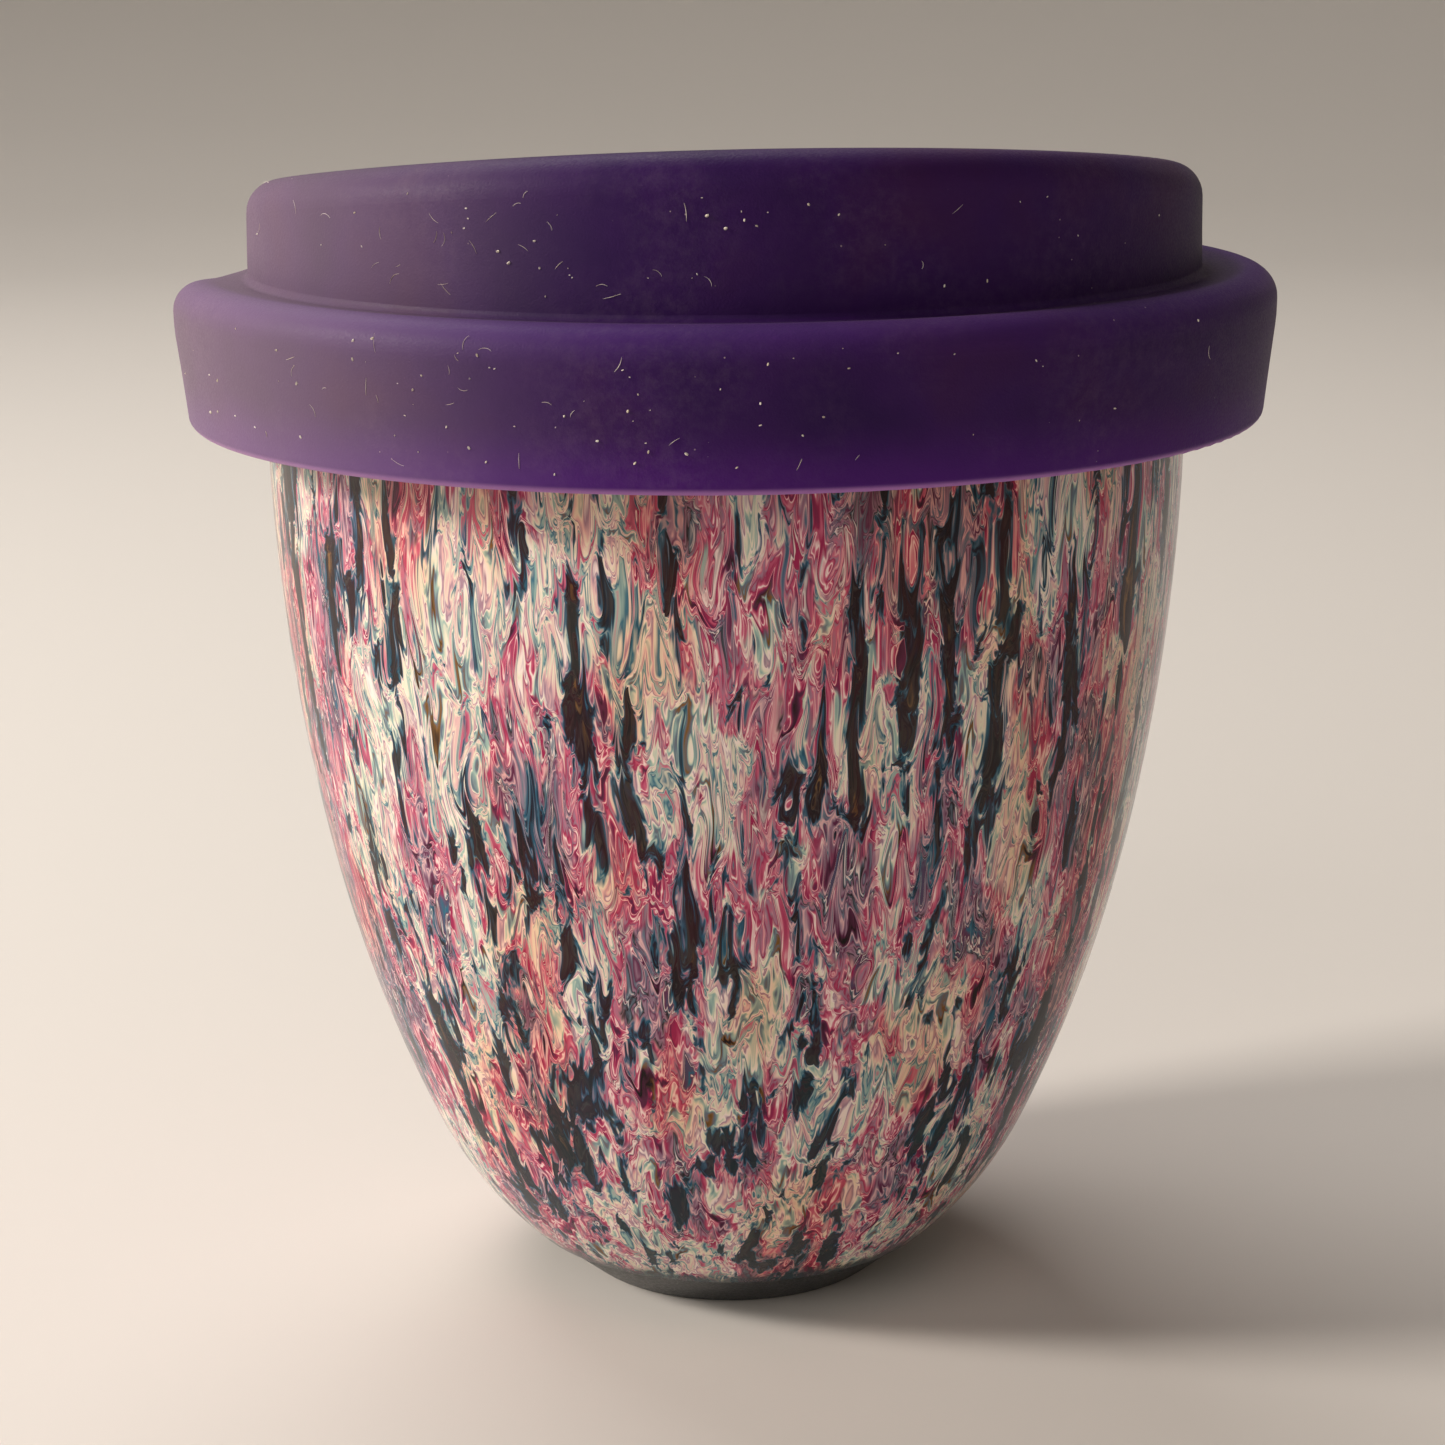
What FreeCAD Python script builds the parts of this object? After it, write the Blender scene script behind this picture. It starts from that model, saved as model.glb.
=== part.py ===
"""A small reusable travel cup: a glazed stoneware cup with a press-on silicone lid and a sip flap.

The row frame has +Z up. Its origin is the centre of the cup's underside, on the cup's axis. The
drinking side, where the lid is highest, faces -Y. Every length is in millimetres.
"""

import FreeCAD, Part
import math
import os

import Sketcher

DOC_NAME = "travel_cup"

# Driving dimensions. A radius is measured from the axis of its own round shape, a level from the
# table, and an offset from the cup's axis. Names that start with flap, plug, bead, trunnion or
# notch are in the flap's own frame, on its hinge line.
DIMENSIONS = {
    # stoneware body, outside: tangent arcs run from the foot up to the neck
    "recess_radius": 9.0,
    "recess_depth": 1.2,
    "base_radius": 14.35,
    "base_round": 1.2,
    "foot_radius": 18.05,
    "foot_level": 3.0,
    "heel_radius": 28.3,
    "heel_level": 16.2,
    "belly_radius": 37.05,
    "belly_level": 42.1,
    "neck_radius": 41.7,
    "neck_level": 84.0,
    "neck_height": 1.0,
    "lip_radius": 44.6,
    "lip_level": 87.6,
    "lip_shoulder": 90.4,
    "rim_level": 92.8,
    "rim_radius": 42.2,
    "rim_inner_radius": 40.2,
    "rim_round": 1.6,
    # stoneware body, inside
    "mouth_radius": 38.6,
    "mouth_level": 82.0,
    "inner_belly_radius": 33.6,
    "inner_belly_level": 42.0,
    "inner_heel_radius": 24.6,
    "inner_heel_level": 17.6,
    "floor_radius": 9.2,
    "floor_level": 8.0,
    # glaze: it stops above the foot, and the two coats meet on the rim
    "glaze_thickness": 0.4,
    "glaze_bite": 1.2,
    "glaze_line_level": 4.4,
    "glaze_seam_radius": 41.2,
    # lid: collar, web and sealing flange
    "collar_radius": 50.0,
    "collar_wide_level": 92.0,
    "collar_edge_radius": 49.0,
    "collar_edge_level": 82.8,
    "collar_bore_radius": 45.4,
    "collar_top_level": 96.4,
    "collar_dip": 0.8,
    "collar_round": 2.6,
    "collar_wide_round": 18.0,
    "edge_round": 0.9,
    "web_level": 93.6,
    "flange_radius": 37.6,
    "flange_bore_radius": 35.2,
    "flange_level": 84.6,
    "flange_round": 0.8,
    "rib_reach": 0.3,
    "rib_half_width": 0.6,
    "rib_low_level": 86.8,
    "rib_high_level": 90.0,
    # lid: drum with its swept top
    "drum_radius": 43.3,
    "drum_top_radius": 42.95,
    "drum_blank_level": 112.0,
    "drum_foot_round": 0.6,
    "drum_front_level": 109.4,
    "drum_back_level": 101.2,
    "sweep_radius": 900.0,
    "drum_round": 3.0,
    # lid: well, drinking chamber and vent
    "well_radius": 31.0,
    "well_offset": 7.5,
    "well_level": 98.4,
    "well_edge_round": 1.2,
    "well_floor_round": 2.0,
    "well_wall": 2.5,
    "deck_level": 95.9,
    "chamber_radius": 40.1,
    "chamber_level": 102.6,
    "chamber_end_offset": 10.0,
    "vent_radius": 0.9,
    "vent_offset": 31.0,
    # sip flap and its place in the lid
    "hinge_offset": 26.6,
    "hinge_level": 105.57,
    "flap_tilt": 7.2,
    "flap_half_width": 10.0,
    "flap_reach": 11.4,
    "flap_top": 1.2,
    "flap_base": 0.8,
    "flap_corner": 4.5,
    "flap_back_reach": 5.6,
    "flap_clearance": 4.0,
    "plug_offset": 6.4,
    "plug_half_length": 6.6,
    "plug_half_width": 2.2,
    "plug_depth": 3.0,
    "plug_taper": 18.0,
    "slot_depth": 5.0,
    "bead_radius": 1.2,
    "trunnion_radius": 0.64,
    "trunnion_reach": 12.0,
    "trunnion_gap": 0.06,
    "flap_gap": 0.3,
    "notch_radius": 4.0,
    "notch_offset": 9.2,
}

BEYOND = 60.0  # half the reach of a cut that passes right through a piece
MIN_CUT = 0.5  # cubic millimetres that a real cut takes away at the very least


class Size:
    """A length that carries both its value and the spreadsheet expression that gives it."""

    def __init__(self, value, text):
        self.value = value
        self.text = text

    def __add__(self, other):
        return Size(self.value + other.value, f"({self.text} + {other.text})")

    def __sub__(self, other):
        return Size(self.value - other.value, f"({self.text} - {other.text})")

    def __neg__(self):
        return Size(-self.value, f"(-{self.text})")


def plain(number):
    """A number as a Size, for points that no dimension drives."""
    return Size(number, str(number))


ZERO = plain(0.0)


class Outline:
    """Draws a closed outline in a sketch and binds each of its corners to the spreadsheet."""

    def __init__(self, sketch, x, y):
        self.sketch = sketch
        self.first = (x, y)
        self.at = (x, y)
        self.opening = None  # (geometry, position) of the outline's first corner
        self.last = None  # (geometry, position) where the latest edge ends
        self.heading = None

    def line(self, x, y):
        """A straight edge to (x, y)."""
        a, b = vector(*self.at), vector(x, y)
        self._append(Part.LineSegment(a, b), x, y, "Coincident")
        self.heading = (b - a).normalize()
        return self

    def arc(self, x, y, radius, turn):
        """An arc of a given radius to (x, y). It turns left where turn is 1 and right where -1."""
        a, b = vector(*self.at), vector(x, y)
        side = left_of(b - a) * turn
        rise = math.sqrt(radius.value**2 - ((b - a).Length / 2) ** 2)
        centre = (a + b) * 0.5 + side * rise
        edge = self._append(
            Part.Arc(a, centre - side * radius.value, b), x, y, "Coincident"
        )
        index = self.sketch.addConstraint(Sketcher.Constraint("Radius", edge, radius.value))
        self.sketch.setExpression(f"Constraints[{index}]", radius.text)
        self.heading = left_of(b - centre) * turn
        return self

    def tangent_arc(self, x, y):
        """An arc to (x, y) that sets off in the direction in which the last edge arrived."""
        a, b = vector(*self.at), vector(x, y)
        chord = b - a
        side = left_of(self.heading)
        radius = chord.dot(chord) / (2 * side.dot(chord))
        centre = a + side * radius
        self._append(Part.Arc(a, centre - left_of(chord) * radius, b), x, y, "Tangent")
        self.heading = left_of(b - centre) * math.copysign(1, radius)
        return self

    def close(self):
        """A straight edge back to the first corner."""
        edge = self.sketch.addGeometry(
            Part.LineSegment(vector(*self.at), vector(*self.first)), False
        )
        self.sketch.addConstraint(Sketcher.Constraint("Coincident", *self.last, edge, 1))
        self.sketch.addConstraint(Sketcher.Constraint("Coincident", edge, 2, *self.opening))

    def _append(self, curve, x, y, join):
        edge = self.sketch.addGeometry(curve, False)
        begin = vector(*self.at)
        gaps = [(self.sketch.getPoint(edge, place) - begin).Length for place in (1, 2)]
        head, tail = (1, 2) if gaps[0] < gaps[1] else (2, 1)
        if self.last:
            self.sketch.addConstraint(Sketcher.Constraint(join, *self.last, edge, head))
        else:
            self.opening = (edge, head)
            pin_point(self.sketch, edge, head, *self.at)
        pin_point(self.sketch, edge, tail, x, y)
        self.last = (edge, tail)
        self.at = (x, y)
        return edge


def pin_point(sketch, edge, place, x, y):
    """Binds one point of a sketch edge to two Sizes."""
    for kind, size, axis in (("DistanceX", x, -2), ("DistanceY", y, -1)):
        if size.value == 0:
            sketch.addConstraint(Sketcher.Constraint("PointOnObject", edge, place, axis))
            continue
        ends = (-1, 1, edge, place) if size.value > 0 else (edge, place, -1, 1)
        length = size if size.value > 0 else -size
        index = sketch.addConstraint(Sketcher.Constraint(kind, *ends, length.value))
        sketch.setExpression(f"Constraints[{index}]", length.text)


def vector(x, y):
    """The sketch point of two Sizes."""
    return FreeCAD.Vector(x.value, y.value, 0)


def left_of(direction):
    """The unit direction a quarter turn to the left."""
    return FreeCAD.Vector(-direction.y, direction.x, 0).normalize()


def make_sheet(doc):
    """Writes the driving dimensions into a spreadsheet and returns them as Sizes by alias."""
    sheet = doc.addObject("Spreadsheet::Sheet", "dims")
    for row, (alias, number) in enumerate(DIMENSIONS.items(), start=1):
        sheet.set(f"A{row}", alias)
        sheet.set(f"B{row}", str(number))
        sheet.setAlias(f"B{row}", alias)
    doc.recompute()
    return {alias: Size(number, f"dims.{alias}") for alias, number in DIMENSIONS.items()}


def new_body(doc, label):
    """An empty body whose label is also its file's name."""
    body = doc.addObject("PartDesign::Body", label)
    body.Label = label
    return body


def new_sketch(body, plane, name):
    """A sketch on one of the body's own origin planes."""
    sketch = body.newObject("Sketcher::SketchObject", name)
    support = next(item for item in body.Origin.OriginFeatures if item.Role == plane)
    sketch.AttachmentSupport = (support, [""])
    sketch.MapMode = "FlatFace"
    return sketch


def lift_sketch(sketch, level):
    """Moves a sketch on the XY plane up to a level."""
    sketch.setExpression("AttachmentOffset.Base.z", level.text)


def tip_sketch(sketch, d):
    """Moves a sketch on the XY plane into the flap's frame: y' runs outwards, z' off the lid."""
    roll = FreeCAD.Rotation(180.0, 0.0, d["flap_tilt"].value)
    place = FreeCAD.Vector(0, -d["hinge_offset"].value, d["hinge_level"].value)
    sketch.AttachmentOffset = FreeCAD.Placement(place, roll)
    sketch.setExpression("AttachmentOffset.Base.y", f"-{d['hinge_offset'].text}")
    sketch.setExpression("AttachmentOffset.Base.z", d["hinge_level"].text)


def add_circle(sketch, x, y, radius):
    """A circle about (x, y)."""
    centre = FreeCAD.Vector(x.value, y.value, 0)
    edge = sketch.addGeometry(Part.Circle(centre, FreeCAD.Vector(0, 0, 1), radius.value), False)
    pin_point(sketch, edge, 3, x, y)
    index = sketch.addConstraint(Sketcher.Constraint("Radius", edge, radius.value))
    sketch.setExpression(f"Constraints[{index}]", radius.text)


def add_slot(sketch, y, half_length, half_width):
    """A round-ended slot that lies across the sketch's vertical axis."""
    straight = half_length - half_width
    low, high = y - half_width, y + half_width
    outline = Outline(sketch, ZERO, low)
    outline.line(straight, low)
    outline.tangent_arc(straight, high)
    outline.line(-straight, high)
    outline.tangent_arc(-straight, low)
    outline.close()


def revolve(body, sketch, name, kind="PartDesign::Revolution"):
    """Turns a sketch about its vertical axis, to add a solid or, as a Groove, to take one away."""
    feature = body.newObject(kind, name)
    feature.Profile = sketch
    feature.ReferenceAxis = (sketch, ["V_Axis"])
    feature.Angle = 360.0
    feature.Refine = False
    body.Document.recompute()
    return feature


def extrude(body, kind, sketch, name, depth, flip=False, both_ways=False):
    """Pads or pockets a sketch by a depth."""
    feature = body.newObject(kind, name)
    feature.Profile = sketch
    feature.Length = depth.value
    feature.setExpression("Length", depth.text)
    feature.Reversed = flip
    feature.Midplane = both_ways
    feature.Refine = False
    return feature


def cut(body, sketch, name, depth, upward=False, both_ways=False):
    """Pockets a sketch to a depth, and stops the build if that takes nothing away."""
    before = body.Shape.Volume
    feature = extrude(body, "PartDesign::Pocket", sketch, name, depth, upward, both_ways)
    body.Document.recompute()
    if body.Shape.Volume > before - MIN_CUT:
        raise ValueError(f"{name} cuts nothing")
    return feature


def pad(body, sketch, name, length, downward=False, both_ways=False):
    """Extrudes a sketch by a length."""
    feature = extrude(body, "PartDesign::Pad", sketch, name, length, downward, both_ways)
    body.Document.recompute()
    return feature


def edges_round(feature, offset, radius, low, high, slack=0.05):
    """Names the edges whose points all lie at a radius from an upright axis, between two levels."""
    names = []
    for number, edge in enumerate(feature.Shape.Edges, start=1):
        points = edge.discretize(7)
        if all(
            abs(math.hypot(point.x, point.y - offset) - radius) < slack
            and low - slack <= point.z <= high + slack
            for point in points
        ):
            names.append(f"Edge{number}")
    if not names:
        raise ValueError(f"no edge at radius {radius} between {low} and {high}")
    return names


def soften(body, feature, name, radius, edges):
    """Rounds edges of the body's latest feature."""
    fillet = body.newObject("PartDesign::Fillet", name)
    fillet.Base = (feature, edges)
    fillet.Radius = radius.value
    fillet.setExpression("Radius", radius.text)
    body.Document.recompute()
    return fillet


def outer_wall(outline, d, growth):
    """Draws the cup's outside from its base edge up to its neck, grown sideways."""
    outline.line(d["base_radius"] + growth, ZERO)
    outline.line(d["foot_radius"] + growth, d["foot_level"])
    outline.tangent_arc(d["heel_radius"] + growth, d["heel_level"])
    outline.tangent_arc(d["belly_radius"] + growth, d["belly_level"])
    outline.tangent_arc(d["neck_radius"] + growth, d["neck_level"])


def rolled_lip(outline, d, growth):
    """Draws the lip from the neck out, up and over to the flat of the rim."""
    outline.line(d["neck_radius"] + growth, d["neck_level"] + d["neck_height"])
    outline.line(d["lip_radius"] + growth, d["lip_level"])
    outline.line(d["lip_radius"] + growth, d["lip_shoulder"])
    outline.tangent_arc(d["rim_radius"], d["rim_level"] + growth)


def inner_wall(outline, d, coat):
    """Draws the cup's inside from its mouth down to its floor, narrowed by a coat."""
    outline.line(d["mouth_radius"] - coat, d["mouth_level"])
    outline.tangent_arc(d["inner_belly_radius"] - coat, d["inner_belly_level"])
    outline.tangent_arc(d["inner_heel_radius"] - coat, d["inner_heel_level"])
    outline.tangent_arc(d["floor_radius"], d["floor_level"] + coat)
    outline.line(ZERO, d["floor_level"] + coat)


def make_cup_body(doc, d):
    """The stoneware shell, with a rolled lip that the lid grips and a recess under its foot."""
    body = new_body(doc, "cup_body")
    sketch = new_sketch(body, "XZ_Plane", "cup_profile")
    outline = Outline(sketch, ZERO, d["recess_depth"])
    outline.line(d["recess_radius"], d["recess_depth"])
    outline.line(d["recess_radius"], ZERO)
    outer_wall(outline, d, ZERO)
    rolled_lip(outline, d, ZERO)
    outline.line(d["rim_inner_radius"], d["rim_level"])
    outline.tangent_arc(d["mouth_radius"], d["rim_level"] - d["rim_round"])
    inner_wall(outline, d, ZERO)
    outline.close()
    shell = revolve(body, sketch, "shell")
    base_edge = edges_round(shell, 0, d["base_radius"].value, 0, 0)
    soften(body, shell, "base_rounding", d["base_round"], base_edge)
    return body


def fused_coat(doc, label, blank, cup_body):
    """A glaze coat: its blank without what the stoneware takes up."""
    coat = doc.addObject("Part::Cut", label)
    coat.Label = label
    coat.Base = blank
    coat.Tool = cup_body
    doc.recompute()
    return coat


def make_outer_glaze(doc, d, cup_body):
    """The coloured coat from above the foot to the middle of the rim."""
    blank = new_body(doc, "outer_glaze_blank")
    sketch = new_sketch(blank, "XZ_Plane", "coat_profile")
    outline = Outline(sketch, ZERO, ZERO)
    outer_wall(outline, d, d["glaze_thickness"])
    rolled_lip(outline, d, d["glaze_thickness"])
    outline.line(d["glaze_seam_radius"], d["rim_level"] + d["glaze_thickness"])
    outline.line(d["glaze_seam_radius"], d["lip_level"])
    outline.line(ZERO, d["lip_level"])
    outline.close()
    revolve(blank, sketch, "coat")
    core = new_sketch(blank, "XZ_Plane", "core_profile")
    outline = Outline(core, ZERO, ZERO)
    outer_wall(outline, d, -d["glaze_bite"])
    outline.line(d["neck_radius"] - d["glaze_bite"], d["lip_level"])
    outline.line(ZERO, d["lip_level"])
    outline.close()
    revolve(blank, core, "core", "PartDesign::Groove")
    foot = new_sketch(blank, "XY_Plane", "bare_foot")
    add_circle(foot, ZERO, ZERO, d["belly_radius"])
    cut(blank, foot, "glaze_line", d["glaze_line_level"], upward=True)
    return fused_coat(doc, "outer_glaze", blank, cup_body)


def make_liner_glaze(doc, d, cup_body):
    """The plain coat that lines the cup, from the middle of the rim down over the floor."""
    coat, bite, seam = d["glaze_thickness"], d["glaze_bite"], d["glaze_seam_radius"]
    blank = new_body(doc, "liner_glaze_blank")
    sketch = new_sketch(blank, "XZ_Plane", "lining_profile")
    outline = Outline(sketch, seam, d["rim_level"] + coat)
    outline.line(d["rim_inner_radius"], d["rim_level"] + coat)
    outline.tangent_arc(d["mouth_radius"] - coat, d["rim_level"] - d["rim_round"])
    inner_wall(outline, d, coat)
    outline.line(ZERO, d["floor_level"] - bite)
    outline.line(d["floor_radius"], d["floor_level"] - bite)
    outline.tangent_arc(d["inner_heel_radius"] + bite, d["inner_heel_level"])
    outline.tangent_arc(d["inner_belly_radius"] + bite, d["inner_belly_level"])
    outline.tangent_arc(d["mouth_radius"] + bite, d["mouth_level"])
    outline.line(seam, d["lip_level"])
    outline.close()
    revolve(blank, sketch, "lining")
    return fused_coat(doc, "liner_glaze", blank, cup_body)


def lid_blank(body, d):
    """The lid's round form: collar, web, ribbed sealing flange and an uncut drum."""
    sketch = new_sketch(body, "XZ_Plane", "lid_profile")
    outline = Outline(sketch, ZERO, d["deck_level"])
    outline.line(d["flange_bore_radius"], d["deck_level"])
    outline.line(d["flange_bore_radius"], d["flange_level"])
    outline.line(d["flange_radius"], d["flange_level"])
    for rib_level in (d["rib_low_level"], d["rib_high_level"]):
        outline.line(d["flange_radius"], rib_level - d["rib_half_width"])
        outline.line(d["flange_radius"] + d["rib_reach"], rib_level)
        outline.line(d["flange_radius"], rib_level + d["rib_half_width"])
    outline.line(d["flange_radius"], d["web_level"])
    outline.line(d["collar_bore_radius"], d["web_level"])
    outline.line(d["collar_bore_radius"], d["collar_edge_level"])
    outline.line(d["collar_edge_radius"], d["collar_edge_level"])
    outline.line(d["collar_radius"], d["collar_wide_level"])
    outline.line(d["collar_radius"], d["collar_top_level"])
    outline.line(d["drum_radius"], d["collar_top_level"] - d["collar_dip"])
    outline.line(d["drum_top_radius"], d["drum_blank_level"])
    outline.line(ZERO, d["drum_blank_level"])
    outline.close()
    form = revolve(body, sketch, "form")
    drum_foot_level = d["collar_top_level"] - d["collar_dip"]
    for name, rounding, radius, level in (
        ("collar_shoulder", "collar_round", "collar_radius", d["collar_top_level"]),
        ("collar_swell", "collar_wide_round", "collar_radius", d["collar_wide_level"]),
        ("collar_edge_outer", "edge_round", "collar_edge_radius", d["collar_edge_level"]),
        ("collar_edge_inner", "edge_round", "collar_bore_radius", d["collar_edge_level"]),
        ("flange_tip_outer", "flange_round", "flange_radius", d["flange_level"]),
        ("flange_tip_inner", "flange_round", "flange_bore_radius", d["flange_level"]),
        ("drum_foot", "drum_foot_round", "drum_radius", drum_foot_level),
    ):
        ring = edges_round(form, 0, d[radius].value, level.value, level.value)
        form = soften(body, form, name, d[rounding], ring)


def sweep_top(body, d):
    """Cuts the drum's top so that it sweeps down from the drinking side to the back."""
    reach = d["drum_radius"]
    sketch = new_sketch(body, "YZ_Plane", "sweep_profile")
    outline = Outline(sketch, -reach, d["drum_front_level"])
    outline.arc(reach, d["drum_back_level"], d["sweep_radius"], turn=1)
    outline.line(reach, d["drum_blank_level"])
    outline.line(-reach, d["drum_blank_level"])
    outline.close()
    swept = cut(body, sketch, "sweep", plain(2 * BEYOND), both_ways=True)
    middle = (d["drum_radius"].value + d["drum_top_radius"].value) / 2
    low, high = d["collar_top_level"].value + d["drum_round"].value, d["drum_blank_level"].value
    rim = edges_round(swept, 0, middle, low, high, slack=0.25)
    soften(body, swept, "drum_rounding", d["drum_round"], rim)


def cut_well(body, d):
    """Sinks the round well behind the mouthpiece and pierces its floor with the vent."""
    floor, offset, radius = d["well_level"], d["well_offset"], d["well_radius"]
    corner, top = d["well_floor_round"], d["drum_blank_level"]
    sketch = new_sketch(body, "XZ_Plane", "well_profile")
    sketch.setExpression("AttachmentOffset.Base.z", f"-{offset.text}")
    outline = Outline(sketch, ZERO, floor)
    outline.line(radius - corner, floor)
    outline.tangent_arc(radius, floor + corner)
    outline.line(radius, top)
    outline.line(ZERO, top)
    outline.close()
    well = revolve(body, sketch, "well", "PartDesign::Groove")
    rim = edges_round(well, offset.value, radius.value, floor.value + corner.value + 1, top.value)
    soften(body, well, "well_edge", d["well_edge_round"], rim)
    vent = new_sketch(body, "XY_Plane", "vent_outline")
    lift_sketch(vent, d["deck_level"])
    add_circle(vent, ZERO, d["vent_offset"], d["vent_radius"])
    cut(body, vent, "vent", floor - d["deck_level"], upward=True)


def cut_chamber(body, d):
    """Hollows the mouthpiece from below, as a crescent between the drum and the well's wall."""
    end = -d["chamber_end_offset"]
    outer, inner = d["chamber_radius"], d["well_radius"] + d["well_wall"]
    outer_end = chord_end(outer, d["chamber_end_offset"])
    inner_end = chord_end(inner, d["chamber_end_offset"] + d["well_offset"])
    sketch = new_sketch(body, "XY_Plane", "chamber_outline")
    lift_sketch(sketch, d["deck_level"])
    outline = Outline(sketch, -outer_end, end)
    outline.arc(outer_end, end, outer, turn=1)
    outline.line(inner_end, end)
    outline.arc(-inner_end, end, inner, turn=-1)
    outline.close()
    cut(body, sketch, "chamber", d["chamber_level"] - d["deck_level"], upward=True)


def chord_end(radius, drop):
    """Half the chord of a circle that lies a drop away from its centre."""
    half = math.sqrt(radius.value**2 - drop.value**2)
    return Size(half, f"sqrt({radius.text}^2 - {drop.text}^2)")


def tongue_outline(sketch, d, back, gap):
    """Draws the flap's outline, round at its outer corners, with a gap all round."""
    side, front = d["flap_half_width"] + gap, d["flap_reach"] + gap
    corner = d["flap_corner"] + gap
    outline = Outline(sketch, -side, back)
    outline.line(side, back)
    outline.line(side, front - corner)
    outline.tangent_arc(side - corner, front)
    outline.line(corner - side, front)
    outline.tangent_arc(-side, front - corner)
    outline.close()


def cut_flap_seat(body, d):
    """Cuts the flap's recess, its finger notch, the drinking slot and the hinge's sockets."""
    gap = d["flap_gap"]
    recess = new_sketch(body, "XY_Plane", "recess_outline")
    tip_sketch(recess, d)
    tongue_outline(recess, d, -d["flap_back_reach"], gap)
    notch = new_sketch(body, "XY_Plane", "notch_outline")
    tip_sketch(notch, d)
    add_circle(notch, ZERO, d["notch_offset"], d["notch_radius"])
    for name, sketch in (("recess", recess), ("notch", notch)):
        cut(body, sketch, f"{name}_above", d["flap_clearance"], upward=True)
        cut(body, sketch, f"{name}_below", d["flap_base"] + gap)
    slot = new_sketch(body, "XY_Plane", "slot_outline")
    tip_sketch(slot, d)
    half_length, half_width = d["plug_half_length"] + gap, d["plug_half_width"] + gap
    add_slot(slot, d["plug_offset"], half_length, half_width)
    cut(body, slot, "drinking_slot", d["slot_depth"])
    for name, radius, reach in (
        ("bead_groove", d["bead_radius"] + gap, d["flap_half_width"] + gap),
        ("sockets", d["trunnion_radius"] + d["trunnion_gap"], d["trunnion_reach"] + gap),
    ):
        sketch = new_sketch(body, "YZ_Plane", f"{name}_outline")
        add_circle(sketch, -d["hinge_offset"], d["hinge_level"], radius)
        cut(body, sketch, name, reach + reach, both_ways=True)


def make_lid(doc, d):
    """The one-piece silicone lid: a collar outside the cup's lip, and a drum with a mouthpiece."""
    body = new_body(doc, "lid")
    lid_blank(body, d)
    sweep_top(body, d)
    cut_well(body, d)
    cut_chamber(body, d)
    cut_flap_seat(body, d)
    return body


def make_sip_flap(doc, d):
    """The flap that closes the drinking slot, modelled in its own frame on the hinge line."""
    body = new_body(doc, "sip_flap")
    tongue = new_sketch(body, "XY_Plane", "tongue_outline")
    lift_sketch(tongue, -d["flap_base"])
    tongue_outline(tongue, d, ZERO, ZERO)
    pad(body, tongue, "tongue", d["flap_base"] + d["flap_top"])
    for name, radius, reach in (
        ("bead", d["bead_radius"], d["flap_half_width"]),
        ("trunnions", d["trunnion_radius"], d["trunnion_reach"]),
    ):
        sketch = new_sketch(body, "YZ_Plane", f"{name}_outline")
        add_circle(sketch, ZERO, ZERO, radius)
        pad(body, sketch, name, reach + reach, both_ways=True)
    plug_sketch = new_sketch(body, "XY_Plane", "plug_outline")
    lift_sketch(plug_sketch, -d["flap_base"])
    add_slot(plug_sketch, d["plug_offset"], d["plug_half_length"], d["plug_half_width"])
    plug = pad(body, plug_sketch, "plug", d["plug_depth"], downward=True)
    plug.TaperAngle = -d["plug_taper"].value
    plug.setExpression("TaperAngle", f"-{d['plug_taper'].text}")
    roll = FreeCAD.Rotation(180.0, 0.0, d["flap_tilt"].value)
    place = FreeCAD.Vector(0, -d["hinge_offset"].value, d["hinge_level"].value)
    body.Placement = FreeCAD.Placement(place, roll)
    doc.recompute()
    return body


def check(doc, pieces):
    """Stops the build if any feature has failed or any piece isn't one sound solid."""
    for item in doc.Objects:
        if "Invalid" in item.State or "Error" in item.State:
            raise ValueError(f"{item.Label} did not build: {item.State}")
    for piece in pieces:
        shape = piece.Shape
        if shape.isNull() or not shape.isValid() or len(shape.Solids) != 1:
            raise ValueError(f"{piece.Label} is not one valid solid")


def main():
    doc = FreeCAD.newDocument(DOC_NAME)
    d = make_sheet(doc)
    cup_body = make_cup_body(doc, d)
    pieces = [
        cup_body,
        make_outer_glaze(doc, d, cup_body),
        make_liner_glaze(doc, d, cup_body),
        make_lid(doc, d),
        make_sip_flap(doc, d),
    ]
    doc.recompute()
    check(doc, pieces)
    os.makedirs("parts", exist_ok=True)
    for piece in pieces:
        piece.Shape.exportStep(f"parts/{piece.Label}.step")
        print(f"{piece.Label}: {piece.Shape.Volume / 1000:.2f} cm3")


main()
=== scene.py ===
"""Looks for the travel cup: flowing reactive glaze, bare stoneware foot and a matte silicone lid.

The scene is in metres. Materials and the lid's settling are worked out in millimetres.
"""

import math
import random

import bpy
from mathutils import Matrix, Vector


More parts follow.
